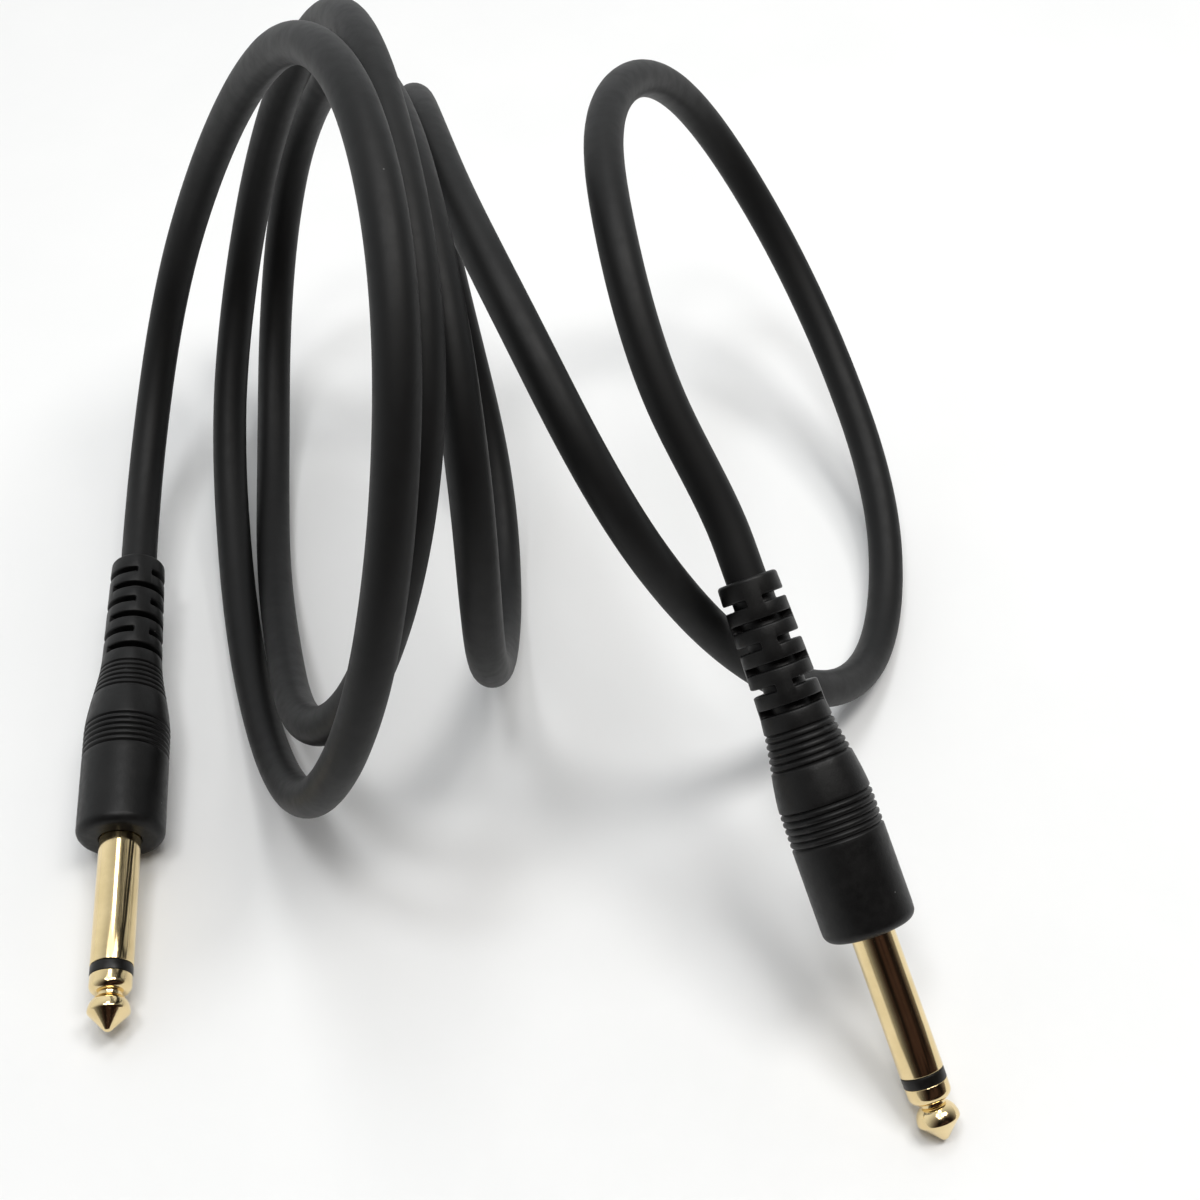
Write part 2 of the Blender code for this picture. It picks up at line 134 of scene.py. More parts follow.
# Handle details in millimetres and degrees, heights counted from the cable end
SLOT_COUNT = 6
SLOT_START = 3.4
SLOT_PITCH = 3.1
SLOT_HALF_WIDTH = 0.52
SLOT_EDGE_ROUND = 0.26
SLOT_FLOOR_RADIUS = 3.12
SLOT_FLOOR_ROUND = 0.14
SLOT_FLOOR_CORNER = 0.04
SLOT_WALL_LEAN = 0.01
BRIDGE_HALF_ANGLE = 16.3
BRIDGE_EDGE_ANGLE = 1.8
NEAR_COLUMNS = (0.0, 0.7, 1.5, 5.0, 9.0, 12.5, 14.4, 15.4, 16.3, 17.2, 18.2, 20.5)
OPEN_COLUMNS = (25.0, 30.0, 35.0, 40.0, 45.0, 50.0, 55.0, 60.0, 65.0)
RELIEF_RADIUS = 4.4
RELIEF_BASE_RADIUS = 4.8
FLARE_START = 18.5
FLARE_END = 34.5
GRIP_STARTS = (22.1, 33.2)
GRIP_PITCH = 1.0
GRIP_COUNT = 6
GRIP_PROFILE = (
    (-0.4, 0.0),
    (-0.27, 0.03),
    (-0.14, 0.2),
    (0.0, 0.31),
    (0.14, 0.2),
    (0.27, 0.03),
    (0.4, 0.0),
)
RELIEF_END = 20.2
FLARE_ROWS = (28.2, 29.1, 30.0, 30.9, 31.8, 32.4)
BARREL_ROWS = (39.2, 41.5, 44.5, 47.5, 50.0)
END_ROUND = 0.5
RIM_ROUND = 1.5
BORE_RADIUS = 3.02
BORE_ROWS = (18.0, 12.0, 6.0)
BORE_MOUTH = 1.2
BORE_EDGE = 0.12
HOLE_RADIUS = 3.23
HOLE_EDGE = 0.15
FRONT_WALL = 2.6
CAVITY = ((30.5, 5.3), (24.5, 4.0))
SEAM_HEIGHT = 0.035
SEAM_ANGLE = 1.5
SEAM_START = 20.0
SKIN_DEPTH = 0.4

# Contact details in millimetres and degrees; an inset is how far a surface lies under the sleeve's
SLEEVE_WALL = 0.8
SLEEVE_ROW_GAP = 6.0
SLEEVE_ROWS = 3
CAD_RING_INSET = 0.05
RING_INSET = 0.03
RING_EDGE = 0.1
RING_PLAY = 0.2
COLLAR_INSET = 0.06
COLLAR_GAP = 0.02
ROD_RADIUS = 1.1
ROD_END_RADIUS = 0.33
ROD_END_LENGTH = 0.2
EDGE_ROUND = 0.12
FLANGE_LENGTH = 2.0
COLLAR_LENGTH = 1.4
COLLAR_ROUND = 1.25
COLLAR_ARC_END = 10.0
NECK_RADIUS = 1.8
NECK_BLEND = ((0.02, 0.02), (0.0, 0.12))
BULB_RADIUS = 3.1
BULB_ROUND = 2.6
BULB_START = 150.0
BULB_FROM_POINT = 3.0
SHOULDER_ROUND = 0.5
SHOULDER_START = 80.0
CONE_NORMAL = 46.0
POINT_ROUND = 0.9
POINT_ARC_END = 4.0
TURNED_SIDES = 96

# Studio: lamps by name, azimuth and elevation in degrees, size in metres, power in watts and colour
WARM_WHITE = (1.0, 0.985, 0.96)
COOL_WHITE = (0.97, 0.985, 1.0)
LAMPS = (
    ("overhead", 0.0, 90.0, 0.75, 2.0, WARM_WHITE),
    ("right_high", 90.0, 76.0, 0.24, 1.7, WARM_WHITE),
    ("right", 105.0, 62.0, 0.3, 2.4, WARM_WHITE),
    ("back", 180.0, 66.0, 0.26, 1.0, COOL_WHITE),
    ("left_high", 282.0, 77.0, 0.2, 1.45, COOL_WHITE),
    ("front", 350.0, 72.0, 0.16, 0.65, WARM_WHITE),
)
LAMP_TARGET = Vector((0.0, 0.03, 0.03))
LAMP_DISTANCE = 1.0
DARK_SIDE = (30.0, 25.0)
DARK_ANGLE = 38.0
PALE_ANGLE = 125.0
PALE_SURROUNDINGS = (0.95, 0.97, 0.98, 1.0)
DARK_SURROUNDINGS = ((0.008, 0.006, 0.006, 1.0), (0.048, 0.028, 0.026, 1.0))
DARK_PATCHES = 3.2
PATCH_RANGE = (0.42, 0.6)
BACKDROP = (0.93, 0.935, 0.94, 1.0)
TABLE_OUTLINE = ((1.1, -0.02), (1.1, 0.0), (0.4, 0.0), (0.02, 0.0))
TABLE_FADE = (0.45, 0.95)

# Materials: pairs of colours that a mottle mixes, and the part of a noise's range that it uses
TONE_RANGE = (0.3, 0.7)
GOLD_TONES = ((0.77, 0.61, 0.33, 1.0), (0.86, 0.69, 0.39, 1.0))
PAPER_TONES = ((0.86, 0.868, 0.868, 1.0), (0.88, 0.886, 0.885, 1.0))
LUG_BRASS = ((0.78, 0.6, 0.3, 1.0), (0.64, 0.46, 0.2, 1.0))
COPPER_WIRE = ((0.78, 0.42, 0.26, 1.0), (0.6, 0.28, 0.16, 1.0))
DUST_TONE = 0.12
OWN_PLACE = "own_place"

# A Mix node's sockets for colours
MIX_FIRST, MIX_SECOND, MIX_RESULT = 6, 7, 2

PLUGS = ("plug_a", "plug_b")
SMOOTH_ANGLE = radians(40.0)


def to_array(points):
    return np.array([tuple(point) for point in points], dtype=float)


def node_points(name):
    """A CAD node's vertices in the row frame."""
    return to_array(vertex.co for vertex in frame["nodes"][name].data.vertices)


def plug_matrix(plug):
    """The plug's own frame, read from its CAD pieces: the origin on the axis at the cable end, +Z to the
    tip, and +Y towards its seat mount, which is also through the strain relief's first bridge."""
    seat = next(mount for mount in frame["record"]["mounts"] if mount["name"] == f"{plug}_seat")
    axis = Vector(seat["axis"]).normalized()
    low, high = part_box(f"{plug}_jacket_end")
    middle = (low + high) / 2.0
    reach = min((Vector(point) - middle).dot(axis) for point in node_points(f"{plug}_jacket_end"))
    start = middle + reach * axis
    up = Vector(seat["pos_m"]) - start
    up = (up - up.dot(axis) * axis).normalized()
    turn = Matrix((up.cross(axis), up, axis)).transposed().to_4x4()
    return Matrix.Translation(start) @ turn


def node_span(plug, piece, place):
    """A plug's CAD node in the plug's frame: lowest and highest height and outer radius, millimetres."""
    points = node_points(f"{plug}_{piece}")
    local = to_array(place.inverted() @ Vector(point) for point in points) / MM
    return local[:, 2].min(), local[:, 2].max(), np.hypot(local[:, 0], local[:, 1]).max()


def make_camera():
    """The photo's view: from the front and above, level from side to side."""
    camera = bpy.data.objects.new("camera", bpy.data.cameras.new("camera"))
    camera.data.lens = CAMERA_LENS
    camera.data.clip_start = CAMERA_NEAR
    camera.location = CAMERA_PLACE
    camera.rotation_euler = (pi / 2.0 - CAMERA_PITCH, 0.0, 0.0)
    bpy.context.scene.collection.objects.link(camera)
    bpy.context.scene.camera = camera


def smooth_curve(route, start_direction, end_direction, count):
    """Points evenly spread along the cubic spline through a route, with set directions at its ends."""
    route = to_array(route)
    chords = np.linalg.norm(np.diff(route, axis=0), axis=1)
    knots = np.concatenate(([0.0], np.cumsum(chords)))
    size = len(route)
    system, target = np.zeros((size, size)), np.zeros((size, 3))
    system[0, 0] = system[-1, -1] = 1.0
    target[0], target[-1] = start_direction, end_direction
    for i in range(1, size - 1):
        before, after = chords[i - 1], chords[i]
        system[i, i - 1], system[i, i], system[i, i + 1] = after, 2.0 * (before + after), before
        rise = after * (route[i] - route[i - 1]) / before + before * (route[i + 1] - route[i]) / after
        target[i] = 3.0 * rise
    slopes = np.linalg.solve(system, target)
    fine = np.linspace(0.0, knots[-1], CURVE_STEPS * size)
    piece = np.clip(np.searchsorted(knots, fine, side="right") - 1, 0, size - 2)
    span = chords[piece][:, None]
    share = ((fine - knots[piece]) / chords[piece])[:, None]
    places = (
        (2 * share**3 - 3 * share**2 + 1) * route[piece]
        + (share**3 - 2 * share**2 + share) * span * slopes[piece]
        + (3 * share**2 - 2 * share**3) * route[piece + 1]
        + (share**3 - share**2) * span * slopes[piece + 1]
    )
    walked = np.concatenate(([0.0], np.cumsum(np.linalg.norm(np.diff(places, axis=0), axis=1))))
    stops = np.linspace(0.0, walked[-1], count)
    return np.stack([np.interp(stops, walked, places[:, axis]) for axis in range(3)], axis=1)


def cable_line(places):
    """The cable's centreline from handle to handle, straight for a few millimetres at both ends."""
    start, end = (places[plug].translation for plug in PLUGS)
    first_axis, last_axis = (places[plug].to_3x3().col[2] for plug in PLUGS)
    inner = [start - EXIT_STRAIGHT * first_axis]
    inner += [*FIRST_TURN, *SECOND_TURN, *THIRD_TURN, *LAST_LOOP]
    inner.append(end - EXIT_STRAIGHT * last_axis)
    curve = smooth_curve(inner, -first_axis, last_axis, CABLE_RINGS)
    return np.vstack([tuple(start), curve, tuple(end)])


def carried_sides(line):
    """A side vector for each point of a line, carried along it without twist, and its partner."""
    tangents = np.gradient(line, axis=0)
    tangents /= np.linalg.norm(tangents, axis=1)[:, None]
    side = np.cross(tangents[0], (0.0, 0.0, 1.0))
    sides = []
    for tangent in tangents:
        side = side - tangent * side.dot(tangent)
        side /= np.linalg.norm(side)
        sides.append(side)
    sides = np.array(sides)
    return sides, np.cross(tangents, sides)


def skin_mesh(name, rows, closed_rows):
    """A mesh from rows of points, each a closed ring; the last row joins the first, or both get caps."""
    count, width = rows.shape[:2]
    vertices = rows.reshape(-1, 3)
    faces = []
    for row in range(count if closed_rows else count - 1):
        after = (row + 1) % count
        for column in range(width):
            beside = (column + 1) % width
            corners = (row, column), (row, beside), (after, beside), (after, column)
            faces.append([r * width + c for r, c in corners])
    if not closed_rows:
        faces.append(list(range(width))[::-1])
        faces.append([(count - 1) * width + column for column in range(width)])
    mesh = bpy.data.meshes.new(name)
    mesh.from_pydata(vertices.tolist(), [], faces)
    mesh.shade_smooth()
    mesh.set_sharp_from_angle(angle=SMOOTH_ANGLE)
    return mesh


def cable_mesh(line):
    """The jacket: a round tube, very slightly uneven, as an extruded jacket is over its screen."""
    sides, partners = carried_sides(line)
    angles = np.linspace(0.0, 2.0 * pi, CABLE_SIDES, endpoint=False)
    walked = np.concatenate(([0.0], np.cumsum(np.linalg.norm(np.diff(line, axis=0), axis=1))))
    wave = np.sin(walked / WAVE_STEP)[:, None] * np.cos(angles + walked[:, None] / WAVE_TURN)
    wave += np.sin(walked / SWELL_STEP)[:, None]
    radius = CABLE_RADIUS - JACKET_WAVE * (1.0 + 0.5 * wave)
    around = np.cos(angles)[None, :, None] * sides[:, None]
    around = around + np.sin(angles)[None, :, None] * partners[:, None]
    mesh = skin_mesh("cable_jacket", line[:, None] + radius[:, :, None] * around, False)
    lay_out(mesh, walked)
    return mesh


def lay_out(mesh, walked):
    """A map on the tube: once round in U, and metres along it in V."""
    layer = mesh.uv_layers.new(name="UVMap")
    for face in mesh.polygons:
        seam = max(index % CABLE_SIDES for index in face.vertices) == CABLE_SIDES - 1
        for corner, index in zip(face.loop_indices, face.vertices):
            ring, column = divmod(index, CABLE_SIDES)
            if seam and column == 0:
                column = CABLE_SIDES
            layer.data[corner].uv = (column / CABLE_SIDES, walked[ring])


def handle_radius(height):
    """The handle's plain outer radius: relief cone, flare, then barrel."""
    rise = RELIEF_BASE_RADIUS - RELIEF_RADIUS
    relief = RELIEF_RADIUS + rise * min(height / FLARE_START, 1.0)
    share = min(max((height - FLARE_START) / (FLARE_END - FLARE_START), 0.0), 1.0)
    smooth = share * share * (3.0 - 2.0 * share)
    return relief + (BARREL_RADIUS - relief) * smooth


def slot_rows(slot):
    """Rows over one slot: down to its floor and up where it is open, straight on where it is bridged."""
    middle = SLOT_START + slot * SLOT_PITCH
    top = handle_radius(middle)
    edge, bottom = SLOT_HALF_WIDTH, SLOT_FLOOR_RADIUS
    half = []
    for degree in (0.0, 30.0, 60.0, 90.0):
        angle = radians(degree)
        offset = -edge - SLOT_EDGE_ROUND * (1.0 - sin(angle))
        half.append((offset, top - SLOT_EDGE_ROUND * (1.0 - cos(angle))))
    half.append((-edge + SLOT_WALL_LEAN, bottom + SLOT_FLOOR_ROUND))
    half.append((-edge + SLOT_FLOOR_CORNER, bottom + SLOT_FLOOR_CORNER))
    half.append((-edge + SLOT_FLOOR_ROUND, bottom))
    opened = half + [(0.0, bottom)] + [(-offset, radius) for offset, radius in reversed(half)]
    reach = edge + SLOT_EDGE_ROUND
    rows = []
    for step, (offset, radius) in enumerate(opened):
        solid = middle - reach + 2.0 * reach * step / (len(opened) - 1)
        rows.append((middle + offset, radius, solid, handle_radius(solid), slot % 2))
    return rows


def plain_row(height, radius):
    """A row that no slot cuts, so its open and its bridged place are one."""
    return (height, radius, height, radius, 0)


def grip_rows(start):
    """Rows over one group of grip rings, from the middle of its first groove."""
    rows = []
    for ring in range(GRIP_COUNT):
        for offset, depth in GRIP_PROFILE:
            height = start + ring * GRIP_PITCH + offset
            rows.append(plain_row(height, handle_radius(height) - depth))
    return rows


def handle_rows(length):
    """Rows of the handle's skin: out of the cable bore, over the outside, and into the front hole."""
    rows = [plain_row(BORE_MOUTH, BORE_RADIUS), plain_row(BORE_EDGE, BORE_RADIUS)]
    rows.append(plain_row(0.0, BORE_RADIUS + BORE_EDGE))
    for degree in range(0, 91, 18):
        angle = radians(degree)
        drop = END_ROUND * (1.0 - sin(angle))
        rows.append(plain_row(END_ROUND - END_ROUND * cos(angle), handle_radius(0.0) - drop))
    for slot in range(SLOT_COUNT):
        rows += slot_rows(slot)
    rows.append(plain_row(RELIEF_END, handle_radius(RELIEF_END)))
    rows += grip_rows(GRIP_STARTS[0])
    rows += [plain_row(height, handle_radius(height)) for height in FLARE_ROWS]
    rows += grip_rows(GRIP_STARTS[1])
    rows += [plain_row(height, BARREL_RADIUS) for height in BARREL_ROWS]
    for degree in range(0, 91, 10):
        angle = radians(degree)
        radius = BARREL_RADIUS - RIM_ROUND * (1.0 - cos(angle))
        rows.append(plain_row(length - RIM_ROUND * (1.0 - sin(angle)), radius))
    rows += [plain_row(length, HOLE_RADIUS + HOLE_EDGE), plain_row(length - HOLE_EDGE, HOLE_RADIUS)]
    rows += [plain_row(length - FRONT_WALL, HOLE_RADIUS), plain_row(length - FRONT_WALL, CAVITY[0][1])]
    rows += [plain_row(height, radius) for height, radius in CAVITY]
    rows += [plain_row(height, BORE_RADIUS) for height in (CAVITY[-1][0], *BORE_ROWS)]
    return rows


def handle_columns():
    """Column angles in degrees: closest at the mould's seam and at the bridges' edges."""
    quarter = [*NEAR_COLUMNS, *OPEN_COLUMNS]
    quarter += [90.0 - angle for angle in reversed(NEAR_COLUMNS[1:])]
    return [angle + turn for turn in (0.0, 90.0, 180.0, 270.0) for angle in quarter]


def openness(angle, odd):
    """1 where a slot is open at this angle, 0 on its bridges, which odd slots have a quarter turn on."""
    off = (angle - (0.0 if odd else 90.0)) % 180.0
    off = min(off, 180.0 - off)
    share = (off - BRIDGE_HALF_ANGLE + BRIDGE_EDGE_ANGLE) / (2.0 * BRIDGE_EDGE_ANGLE)
    share = min(max(share, 0.0), 1.0)
    return share * share * (3.0 - 2.0 * share)


def seam_rise(angle, height, radius, length):
    """The faint ridge that the mould's parting line leaves on two sides of the barrel."""
    off = min(angle % 180.0, 180.0 - angle % 180.0)
    outside = radius > handle_radius(height) - SKIN_DEPTH
    crossed = outside and SEAM_START < height < length - RIM_ROUND
    return SEAM_HEIGHT * max(0.0, 1.0 - off / SEAM_ANGLE) if crossed else 0.0


def handle_mesh(length):
    """The handle's skin, each point between its open and its bridged place by how open the slot is."""
    rows = handle_rows(length)
    columns = handle_columns()
    points = np.zeros((len(rows), len(columns), 3))
    for i, (open_height, open_radius, height, radius, odd) in enumerate(rows):
        for j, angle in enumerate(columns):
            share = openness(angle, odd)
            reach = radius + (open_radius - radius) * share + seam_rise(angle, height, radius, length)
            place = height + (open_height - height) * share
            points[i, j] = (reach * cos(radians(angle)), reach * sin(radians(angle)), place)
    return skin_mesh("handle", points * MM, True)


def turned_mesh(name, outline, hollow=True):
    """An outline of (radius, height) points, millimetres, turned round Z: a hollow ring, or capped."""
    angles = np.linspace(0.0, 2.0 * pi, TURNED_SIDES, endpoint=False)
    around = np.stack([np.cos(angles), np.sin(angles)], axis=1)
    rows = []
    for radius, height in outline:
        rows.append(np.column_stack([radius * around, np.full(TURNED_SIDES, height)]))
    return skin_mesh(name, np.array(rows) * MM, hollow)


def arc(centre_radius, centre_height, radius, start, end, steps):
    """Points of an arc in the outline's plane; angles in degrees from the plug's axis."""
    points = []
    for step in range(steps + 1):
        angle = radians(start + (end - start) * step / steps)
        points.append((centre_radius + radius * sin(angle), centre_height + radius * cos(angle)))
    return points


def sleeve_outline(low, high, flange):
    """The sleeve: a tube with its anchoring flange at the rear and a rounded front edge."""
    outer = SLEEVE_RADIUS
    inner = outer - SLEEVE_WALL
    outline = [(inner, low), (flange, low), (flange, low + FLANGE_LENGTH), (outer, low + FLANGE_LENGTH)]
    outline += [(outer, high - SLEEVE_ROW_GAP * step) for step in range(SLEEVE_ROWS, 0, -1)]
    outline += arc(outer - EDGE_ROUND, high - EDGE_ROUND, EDGE_ROUND, 90.0, 0.0, 4)
    outline.append((inner, high))
    return outline


def ring_outline(low, high, inner):
    """The insulating ring: a hair under the sleeve and over the collar, with small rounded edges."""
    outer, small = SLEEVE_RADIUS - RING_INSET, RING_EDGE
    outline = [(inner, low)]
    outline += arc(outer - small, low + small, small, 180.0, 90.0, 3)
    outline += arc(outer - small, high - small, small, 90.0, 0.0, 3)
    outline.append((inner, high))
    return outline


def tip_outline(low, high, collar_rear):
    """The tip: collar, rounded in to the neck, then a bulb, its shoulder, a cone and a rounded point."""
    collar = SLEEVE_RADIUS - COLLAR_INSET
    rounding = collar_rear + COLLAR_LENGTH
    neck = rounding + COLLAR_ROUND
    bulb = high - BULB_FROM_POINT
    outline = [(ROD_END_RADIUS, low), (ROD_RADIUS, low + ROD_END_LENGTH), (ROD_RADIUS, collar_rear)]
    outline += arc(collar - EDGE_ROUND, collar_rear + EDGE_ROUND, EDGE_ROUND, 180.0, 90.0, 4)
    outline += arc(collar - COLLAR_ROUND, rounding, COLLAR_ROUND, 90.0, COLLAR_ARC_END, 12)
    outline += [(NECK_RADIUS + over, neck + past) for over, past in NECK_BLEND]
    outline += arc(BULB_RADIUS - BULB_ROUND, bulb, BULB_ROUND, BULB_START, 90.0, 16)
    outline += arc(BULB_RADIUS - SHOULDER_ROUND, bulb, SHOULDER_ROUND, SHOULDER_START, CONE_NORMAL, 5)
    outline += arc(0.0, high - POINT_ROUND, POINT_ROUND, CONE_NORMAL, POINT_ARC_END, 9)
    return outline


class Look:
    """A material under way: a Principled BSDF and short calls for the nodes that feed it."""

    def __init__(self, name, metallic=0.0, own=False):
        self.material = bpy.data.materials.new(name)
        self.material.use_nodes = True
        self.tree = self.material.node_tree
        self.shader = self.tree.nodes["Principled BSDF"]
        self.shader.inputs["Metallic"].default_value = metallic
        self.coordinates = self.tree.nodes.new("ShaderNodeTexCoord").outputs
        self.place = self.coordinates["Object"]
        if own:
            self.place = self.node("ShaderNodeAttribute", {}, attribute_name=OWN_PLACE).outputs["Vector"]

    def feed(self, node, name, value):
        """Sets a node's input, or links to it where the value is another node's output."""
        if isinstance(value, bpy.types.NodeSocket):
            self.tree.links.new(value, node.inputs[name])
        else:
            node.inputs[name].default_value = value

    def node(self, kind, inputs, **settings):
        made = self.tree.nodes.new(kind)
        for name, value in settings.items():
            setattr(made, name, value)
        for name, value in inputs.items():
            self.feed(made, name, value)
        return made

    def stretched(self, scale, source=None):
        source = self.place if source is None else source
        return self.node("ShaderNodeMapping", {"Vector": source, "Scale": scale}).outputs["Vector"]

    def noise(self, scale, detail, roughness=0.5, vector=None):
        inputs = {"Scale": scale, "Detail": detail, "Roughness": roughness}
        inputs["Vector"] = self.place if vector is None else vector
        return self.node("ShaderNodeTexNoise", inputs).outputs["Fac"]

    def ramp(self, value, low, high, to_low=0.0, to_high=1.0):
        inputs = {"Value": value, "From Min": low, "From Max": high, "To Min": to_low, "To Max": to_high}
        return self.node("ShaderNodeMapRange", inputs, interpolation_type="SMOOTHSTEP").outputs["Result"]

    def mottle(self, scale, detail, to_low=0.0, to_high=1.0):
        """Noise whose usual range is spread from to_low to to_high."""
        return self.ramp(self.noise(scale, detail), *TONE_RANGE, to_low, to_high)

    def math(self, operation, first, second):
        made = self.node("ShaderNodeMath", {}, operation=operation)
        self.feed(made, 0, first)
        self.feed(made, 1, second)
        return made.outputs[0]

    def mix(self, share, first, second):
        made = self.node("ShaderNodeMix", {"Factor": share}, data_type="RGBA")
        self.feed(made, MIX_FIRST, first)
        self.feed(made, MIX_SECOND, second)
        return made.outputs[MIX_RESULT]

    def bump(self, height, strength, distance, normal=None):
        inputs = {"Height": height, "Strength": strength, "Distance": distance}
        if normal is not None:
            inputs["Normal"] = normal
        return self.node("ShaderNodeBump", inputs).outputs["Normal"]

    def finish(self, colour, roughness, normal=None, **others):
        self.feed(self.shader, "Base Color", colour)
        self.feed(self.shader, "Roughness", roughness)
        if normal is not None:
            self.feed(self.shader, "Normal", normal)
        for name, value in others.items():
            self.feed(self.shader, name.replace("_", " "), value)
        return self.material


def grey(value, warmth=0.0):
    return (value * (1.0 + warmth), value, value * (1.0 - warmth), 1.0)


def dust(look, colour, cell, size, share):
    """Scattered light specks on a colour: small spots in a few of a cell pattern's cells."""
    cells = look.node("ShaderNodeTexVoronoi", {"Vector": look.place, "Scale": cell})
    near = look.ramp(cells.outputs["Distance"], size * 0.4, size, 1.0, 0.0)
    parts = look.node("ShaderNodeSeparateColor", {"Color": cells.outputs["Color"]})
    chosen = look.math("GREATER_THAN", parts.outputs["Red"], 1.0 - share)
    return look.mix(look.math("MULTIPLY", near, chosen), colour, grey(DUST_TONE))


def jacket_look():
    """Extruded black PVC: satin, with faint drag lines along it, handling marks and a little dust."""
    look = Look("jacket_pvc")
    tone = look.mottle(70.0, 3.0)
    colour = look.mix(tone, grey(0.0042, -0.03), grey(0.0062, 0.0))
    colour = dust(look, colour, 330.0, 0.045, 0.05)
    marks = look.ramp(look.noise(420.0, 5.0, 0.6), 0.35, 0.7)
    roughness = look.math("ADD", 0.5, look.math("MULTIPLY", marks, 0.06))
    drag = look.noise(1.0, 4.0, 0.6, look.stretched((46.0, 26.0, 1.0), look.coordinates["UV"]))
    normal = look.bump(drag, 0.25, 0.00004)
    normal = look.bump(look.noise(5200.0, 2.0), 0.28, 0.00002, normal)
    return look.finish(colour, roughness, normal, Specular_IOR_Level=0.24)


def handle_look():
    """Moulded black PVC: a fine spark-eroded grain, slightly paler on its edges, with a little dust."""
    look = Look("moulded_pvc", own=True)
    tone = look.mottle(180.0, 4.0)
    colour = look.mix(tone, grey(0.0035), grey(0.0065, 0.02))
    edges = look.node("ShaderNodeNewGeometry", {}).outputs["Pointiness"]
    colour = look.mix(look.ramp(edges, 0.52, 0.6, 0.0, 0.5), colour, grey(0.03))
    colour = dust(look, colour, 420.0, 0.06, 0.06)
    roughness = look.mottle(900.0, 4.0, 0.38, 0.47)
    normal = look.bump(look.noise(3600.0, 3.0, 0.6), 0.5, 0.00004)
    normal = look.bump(look.noise(500.0, 2.0), 0.2, 0.00008, normal)
    return look.finish(colour, roughness, normal, Specular_IOR_Level=0.24)


def gold_look():
    """Polished gold plating over turned brass: faint rings from the lathe and fine rubbing marks."""
    look = Look("gold_plating", metallic=1.0, own=True)
    tone = look.mottle(260.0, 3.0)
    colour = look.mix(tone, *GOLD_TONES)
    rings = look.noise(1.0, 4.0, 0.7, look.stretched((60.0, 60.0, 9000.0)))
    rubs = look.noise(1.0, 3.0, 0.6, look.stretched((5200.0, 5200.0, 160.0)))
    roughness = look.ramp(rubs, 0.35, 0.75, 0.1, 0.17)
    normal = look.bump(rings, 0.12, 0.000006)
    normal = look.bump(look.noise(330.0, 2.0), 0.03, 0.00004, normal)
    return look.finish(colour, roughness, normal)


def insulator_look():
    """Black moulded ring: slightly glossy, with turning marks."""
    look = Look("ring_plastic", own=True)
    tone = look.mottle(700.0, 3.0)
    colour = look.mix(tone, grey(0.005, 0.1), grey(0.009, 0.1))
    lines = look.noise(1.0, 3.0, 0.6, look.stretched((200.0, 200.0, 12000.0)))
    roughness = look.mottle(1500.0, 3.0, 0.3, 0.42)
    return look.finish(colour, roughness, look.bump(lines, 0.3, 0.00001), Specular_IOR_Level=0.27)


def hidden_look(name, pale, deep, roughness, metallic, grain):
    """A finish for pieces inside the handles: two tones, uneven gloss and a grain of its own size."""
    look = Look(name, metallic)
    tone = look.mottle(grain, 4.0)
    gloss = look.mottle(grain * 3.0, 3.0, roughness * 0.8, roughness * 1.2)
    normal = look.bump(look.noise(grain * 6.0, 3.0), 0.3, 0.00003)
    return look.finish(look.mix(tone, deep, pale), gloss, normal)


def table_look():
    """White matt paper: a faint mottle and fibres too fine to see singly."""
    look = Look("white_paper")
    tone = look.mottle(22.0, 4.0)
    colour = look.mix(tone, *PAPER_TONES)
    roughness = look.mottle(400.0, 3.0, 0.6, 0.7)
    away = look.node("ShaderNodeVectorMath", {0: look.place}, operation="LENGTH").outputs["Value"]
    there = look.ramp(away, TABLE_FADE[0], TABLE_FADE[1], 1.0, 0.0)
    normal = look.bump(look.noise(2600.0, 4.0), 0.12, 0.00006)
    return look.finish(colour, roughness, normal, Alpha=there)


def show(name, mesh, material, replaced):
    """A piece of the visual model: linked, given its look, and tied to the CAD body."""
    piece = bpy.data.objects.new(name, mesh)
    bpy.context.scene.collection.objects.link(piece)
    mesh.materials.append(material)
    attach(piece, "root")
    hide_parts(replaced)
    return piece


def put_in_place(mesh, place):
    """Moves a plug's mesh into the row frame; its own coordinates stay on it for its patterns."""
    own = mesh.attributes.new(OWN_PLACE, "FLOAT_VECTOR", "POINT")
    own.data.foreach_set("vector", to_array(vertex.co for vertex in mesh.vertices).ravel())
    mesh.transform(place)
    return mesh


def make_cable(places, look):
    """The jacket along the cable's line, shown in place of the CAD cable."""
    line = cable_line(places)
    cable = show("cable_jacket", cable_mesh(line), look, "cable")


def plug_shapes(plug, place):
    """The plug's detailed meshes by CAD piece, sized from that plug's CAD nodes."""
    low, high, flange = node_span(plug, "sleeve_contact", place)
    ring_low, ring_high, _ = node_span(plug, "insulator_ring", place)
    tip_low, tip_high, _ = node_span(plug, "tip_contact", place)
    length = node_span(plug, "handle", place)[1]
    ring = ring_outline(ring_low, ring_high, ROD_RADIUS + RING_PLAY)
    tip = tip_outline(tip_low, tip_high, ring_high + COLLAR_GAP)
    return {
        "handle": handle_mesh(length),
        "sleeve_contact": turned_mesh("sleeve", sleeve_outline(low, high, flange)),
        "insulator_ring": turned_mesh("ring", ring),
        "tip_contact": turned_mesh("tip", tip, False),
    }


